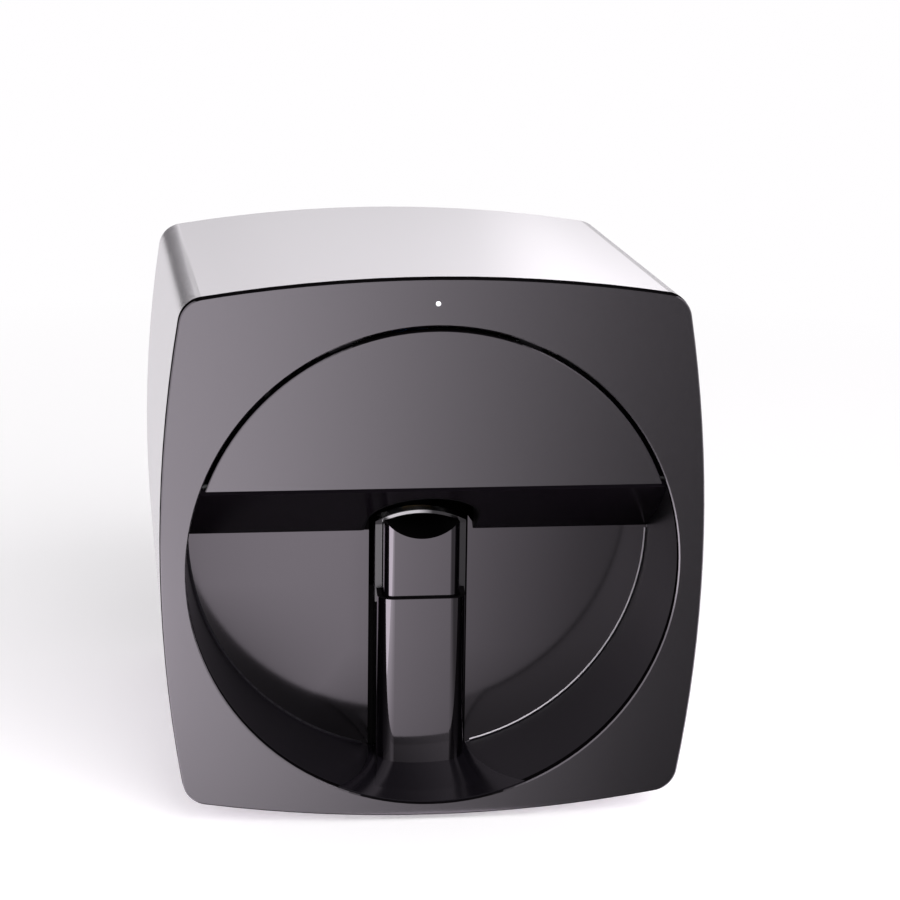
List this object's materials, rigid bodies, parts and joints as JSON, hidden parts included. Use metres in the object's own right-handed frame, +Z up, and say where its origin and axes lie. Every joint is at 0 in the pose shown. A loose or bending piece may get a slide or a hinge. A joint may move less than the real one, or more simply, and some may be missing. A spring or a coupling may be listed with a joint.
{
  "type": "digital nail art printer",
  "caption": "Desktop nail printer: box-shaped body, round front recess with a sprung finger rest, and an ink cartridge on an X-Y gantry behind a drop-down door.",
  "frame": {"origin": "on the table, under the centre of the body", "axes": "+X to the right seen from the front, +Y into the machine, +Z up"},
  "size_m": [0.2206, 0.23, 0.2267],
  "materials": {
    "shell_finish": "pearl silver gloss paint over moulded plastic",
    "fascia_finish": "dark grey satin metallic paint",
    "recess_gloss": "near-black high gloss plastic",
    "column_finish": "dark grey semi-gloss plastic",
    "black_matte": "black textured plastic",
    "rear_plastic": "dark grey fine-textured plastic",
    "rubber": "soft black rubber",
    "steel": "ground steel shaft",
    "screw_steel": "black-zinc steel",
    "magnet": "nickel plated magnet",
    "frame_metal": "bent aluminium sheet",
    "bearing": "oil-filled polymer",
    "brass": "turned brass",
    "motor_metal": "black painted steel",
    "board_green": "green solder mask",
    "chip_black": "epoxy chip package",
    "light_white": "clear light pipe",
    "lens": "coated lens",
    "belt_rubber": "toothed belt",
    "cartridge_plastic": "moulded cartridge",
    "nozzle_gold": "plated nozzle plate",
    "moving_plastic": "grey glass-filled plastic",
    "latch_blue": "blue handling-point plastic",
    "felt": "absorbent felt"
  },
  "bodies": {
    "housing": {"housing_shell": "shell_finish", "front_fascia": "fascia_finish", "status_light_pipe": "light_white", "status_light_board": "board_green", "recess_well": "recess_gloss", "recess_back_plate": "recess_gloss", "recess_soffit": "recess_gloss", "finger_tunnel_liner": "black_matte", "finger_tunnel_hood": "column_finish", "column_foot": "recess_gloss", "finger_rest_sleeve": "column_finish", "rest_spring": "steel", "door_hinge_pins": "screw_steel", "catch_magnets": "magnet", "rear_panel": "rear_plastic", "rear_panel_screws": "screw_steel", "power_inlet": "chip_black", "usb_port": "steel", "power_switch": "chip_black", "rubber_feet": "rubber", "fascia_screws": "screw_steel", "chassis_base": "frame_metal", "chassis_screws": "screw_steel", "chamber_wall": "black_matte", "right_side_frame": "frame_metal", "left_side_frame": "frame_metal", "rail_supports": "moving_plastic", "y_rails": "steel", "main_board": "board_green", "board_standoffs": "brass", "board_components": "chip_black", "y_motor": "motor_metal", "y_motor_bracket": "frame_metal", "ink_tray": "black_matte", "ink_pad": "felt"},
    "finger_rest": {"finger_rest": "column_finish"},
    "access_door": {"access_door": "fascia_finish", "door_magnets": "magnet"},
    "gantry": {"gantry_bridge": "moving_plastic", "gantry_bushes": "bearing", "x_rails": "steel", "x_motor": "motor_metal", "idler_axle": "steel", "carriage_belt": "belt_rubber", "lead_nut": "brass"},
    "carriage": {"printhead_carriage": "moving_plastic", "carriage_bushes": "bearing", "ink_cartridge": "cartridge_plastic", "nozzle_plate": "nozzle_gold", "latch_pin": "steel", "camera_body": "chip_black", "camera_lens": "lens", "camera_light_ring": "board_green"},
    "latch": {"cartridge_latch": "latch_blue"},
    "drive_pulley": {"drive_pulley": "frame_metal"},
    "idler_pulley": {"idler_pulley": "frame_metal"},
    "lead_screw": {"lead_screw": "steel"},
    "power_button": {"power_button": "rear_plastic"}
  },
  "joints": [
    {"name": "finger_rest_slide", "type": "slide", "parent": "housing", "child": "finger_rest", "axis": [0, 0, -1], "range_m": [0, 0.012], "stiffness_N_per_m": 250, "springref_m": -0.004, "deforming": ["rest_spring"]},
    {"name": "access_door_hinge", "type": "hinge", "parent": "housing", "child": "access_door", "pos_m": [0, -0.113, 0.1436], "axis": [1, 0, 0], "range_deg": [0, 95]},
    {"name": "gantry_slide_y", "type": "slide", "parent": "housing", "child": "gantry", "axis": [0, 1, 0], "range_m": [0, 0.03]},
    {"name": "carriage_slide_x", "type": "slide", "parent": "gantry", "child": "carriage", "axis": [1, 0, 0], "range_m": [-0.032, 0.032]},
    {"name": "drive_pulley_spin", "type": "hinge", "parent": "gantry", "child": "drive_pulley", "pos_m": [-0.066, 0.007, 0.1575], "axis": [0, 1, 0], "range_deg": [-294, 294]},
    {"name": "idler_pulley_spin", "type": "hinge", "parent": "gantry", "child": "idler_pulley", "pos_m": [0.066, 0.007, 0.1575], "axis": [0, 1, 0], "range_deg": [-294, 294]},
    {"name": "lead_screw_spin", "type": "hinge", "parent": "housing", "child": "lead_screw", "pos_m": [0.054, 0.025, 0.1697], "axis": [0, 1, 0], "range_deg": [-1355, 2]},
    {"name": "cartridge_latch_hinge", "type": "hinge", "parent": "carriage", "child": "latch", "pos_m": [0, -0.014, 0.183], "axis": [-1, 0, 0], "range_deg": [0, 70]},
    {"name": "power_button_push", "type": "slide", "parent": "housing", "child": "power_button", "axis": [0, -1, 0], "range_m": [0, 0.0012], "stiffness_N_per_m": 800, "springref_m": -0.0005}
  ],
  "couplings": [
    {"joint": "drive_pulley_spin", "follows": "carriage_slide_x", "rad_per_m": 158.73},
    {"joint": "idler_pulley_spin", "follows": "carriage_slide_x", "rad_per_m": 158.73},
    {"joint": "lead_screw_spin", "follows": "gantry_slide_y", "rad_per_m": -785.4}
  ]
}
